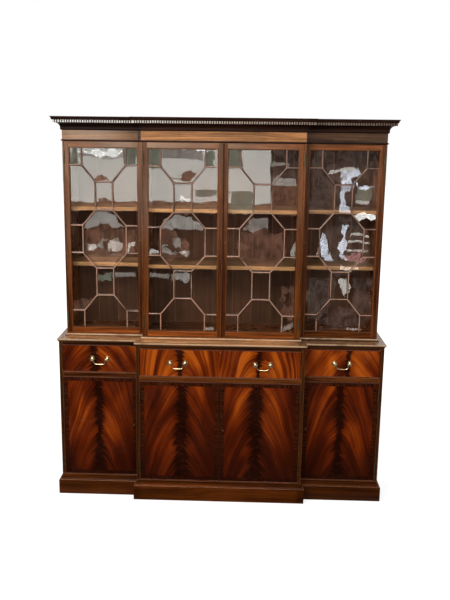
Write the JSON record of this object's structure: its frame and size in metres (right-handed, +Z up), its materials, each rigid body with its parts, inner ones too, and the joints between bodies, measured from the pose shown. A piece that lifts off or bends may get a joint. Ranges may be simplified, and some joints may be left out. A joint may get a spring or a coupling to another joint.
{
  "type": "breakfront bookcase",
  "caption": "Tall wooden bookcase whose centre stands forward: glazed doors with lattice bars over drawers and cupboard doors, on a plinth, under a dentil cornice.",
  "frame": {"origin": "on the floor, under the middle of the whole", "axes": "X left to right, -Y out of the front, +Z up"},
  "size_m": [1.84, 0.453, 2.1201],
  "materials": {
    "mahogany": "polished red-brown mahogany",
    "flame_veneer": "polished flame mahogany veneer",
    "plinth_brown": "polished dark brown",
    "pale_wood": "waxed, paler brown",
    "backboard": "dull brown board",
    "brass": "polished pale brass",
    "glass": "clear old glass"
  },
  "bodies": {
    "case": {"centre_drawer_rail": "mahogany", "centre_lower_shelf": "pale_wood", "centre_upper_shelf": "pale_wood", "cornice": "mahogany", "dentil_moulding": "mahogany", "left_drawer_rail": "mahogany", "left_lower_shelf": "pale_wood", "left_upper_shelf": "pale_wood", "lower_back_panel": "backboard", "lower_bottom_board": "mahogany", "lower_left_partition": "mahogany", "lower_left_side": "mahogany", "lower_right_partition": "mahogany", "lower_right_side": "mahogany", "plinth": "plinth_brown", "right_drawer_rail": "mahogany", "right_lower_shelf": "pale_wood", "right_upper_shelf": "pale_wood", "upper_back_panel": "backboard", "upper_bottom_board": "mahogany", "upper_left_partition": "mahogany", "upper_left_side": "mahogany", "upper_right_partition": "mahogany", "upper_right_side": "mahogany", "upper_top_board": "mahogany", "waist_board": "mahogany"},
    "lower_wing_left_door": {"lower_wing_left_door": "flame_veneer"},
    "lower_centre_left_door": {"lower_centre_left_door": "flame_veneer"},
    "lower_wing_right_door": {"lower_wing_right_door": "flame_veneer"},
    "lower_centre_right_door": {"lower_centre_right_door": "flame_veneer"},
    "upper_wing_left_door": {"upper_wing_left_door_frame": "mahogany", "upper_wing_left_glass": "glass", "upper_wing_left_glazing_bars": "mahogany"},
    "upper_centre_left_door": {"upper_centre_left_door_frame": "mahogany", "upper_centre_left_glass": "glass", "upper_centre_left_glazing_bars": "mahogany"},
    "upper_wing_right_door": {"upper_wing_right_door_frame": "mahogany", "upper_wing_right_glass": "glass", "upper_wing_right_glazing_bars": "mahogany"},
    "upper_centre_right_door": {"upper_centre_right_door_frame": "mahogany", "upper_centre_right_glass": "glass", "upper_centre_right_glazing_bars": "mahogany"},
    "left_drawer": {"left_drawer_front": "flame_veneer", "left_drawer_box": "pale_wood", "left_handle_left_post": "brass", "left_handle_right_post": "brass"},
    "centre_drawer": {"centre_drawer_front": "flame_veneer", "centre_drawer_box": "pale_wood", "centre_left_handle_left_post": "brass", "centre_left_handle_right_post": "brass", "centre_right_handle_left_post": "brass", "centre_right_handle_right_post": "brass"},
    "right_drawer": {"right_drawer_front": "flame_veneer", "right_drawer_box": "pale_wood", "right_handle_left_post": "brass", "right_handle_right_post": "brass"},
    "left_bail": {"left_handle_bail": "brass"},
    "centre_left_bail": {"centre_left_handle_bail": "brass"},
    "centre_right_bail": {"centre_right_handle_bail": "brass"},
    "right_bail": {"right_handle_bail": "brass"}
  },
  "joints": [
    {"name": "lower_wing_left_hinge", "type": "hinge", "parent": "case", "child": "lower_wing_left_door", "pos_m": [-0.881, -0.1573, 0.1163], "axis": [0, 0, -1], "range_deg": [0, 110]},
    {"name": "lower_centre_left_hinge", "type": "hinge", "parent": "case", "child": "lower_centre_left_door", "pos_m": [-0.444, -0.2123, 0.1163], "axis": [0, 0, -1], "range_deg": [0, 110]},
    {"name": "lower_wing_right_hinge", "type": "hinge", "parent": "case", "child": "lower_wing_right_door", "pos_m": [0.881, -0.1573, 0.1163], "axis": [0, 0, 1], "range_deg": [0, 110]},
    {"name": "lower_centre_right_hinge", "type": "hinge", "parent": "case", "child": "lower_centre_right_door", "pos_m": [0.444, -0.2123, 0.1163], "axis": [0, 0, 1], "range_deg": [0, 110]},
    {"name": "upper_wing_left_hinge", "type": "hinge", "parent": "case", "child": "upper_wing_left_door", "pos_m": [-0.859, -0.0773, 0.9376], "axis": [0, 0, -1], "range_deg": [0, 110]},
    {"name": "upper_centre_left_hinge", "type": "hinge", "parent": "case", "child": "upper_centre_left_door", "pos_m": [-0.427, -0.1323, 0.9376], "axis": [0, 0, -1], "range_deg": [0, 110]},
    {"name": "upper_wing_right_hinge", "type": "hinge", "parent": "case", "child": "upper_wing_right_door", "pos_m": [0.859, -0.0773, 0.9376], "axis": [0, 0, 1], "range_deg": [0, 110]},
    {"name": "upper_centre_right_hinge", "type": "hinge", "parent": "case", "child": "upper_centre_right_door", "pos_m": [0.427, -0.1323, 0.9376], "axis": [0, 0, 1], "range_deg": [0, 110]},
    {"name": "left_drawer_slide", "type": "slide", "parent": "case", "child": "left_drawer", "axis": [0, -1, 0], "range_m": [0, 0.26]},
    {"name": "centre_drawer_slide", "type": "slide", "parent": "case", "child": "centre_drawer", "axis": [0, -1, 0], "range_m": [0, 0.3]},
    {"name": "right_drawer_slide", "type": "slide", "parent": "case", "child": "right_drawer", "axis": [0, -1, 0], "range_m": [0, 0.26]},
    {"name": "left_bail_hinge", "type": "hinge", "parent": "left_drawer", "child": "left_bail", "pos_m": [-0.6725, -0.1648, 0.8058], "axis": [-1, 0, 0], "range_deg": [0, 90]},
    {"name": "centre_left_bail_hinge", "type": "hinge", "parent": "centre_drawer", "child": "centre_left_bail", "pos_m": [-0.234, -0.2198, 0.8058], "axis": [-1, 0, 0], "range_deg": [0, 90]},
    {"name": "centre_right_bail_hinge", "type": "hinge", "parent": "centre_drawer", "child": "centre_right_bail", "pos_m": [0.234, -0.2198, 0.8058], "axis": [-1, 0, 0], "range_deg": [0, 90]},
    {"name": "right_bail_hinge", "type": "hinge", "parent": "right_drawer", "child": "right_bail", "pos_m": [0.6725, -0.1648, 0.8058], "axis": [-1, 0, 0], "range_deg": [0, 90]}
  ]
}
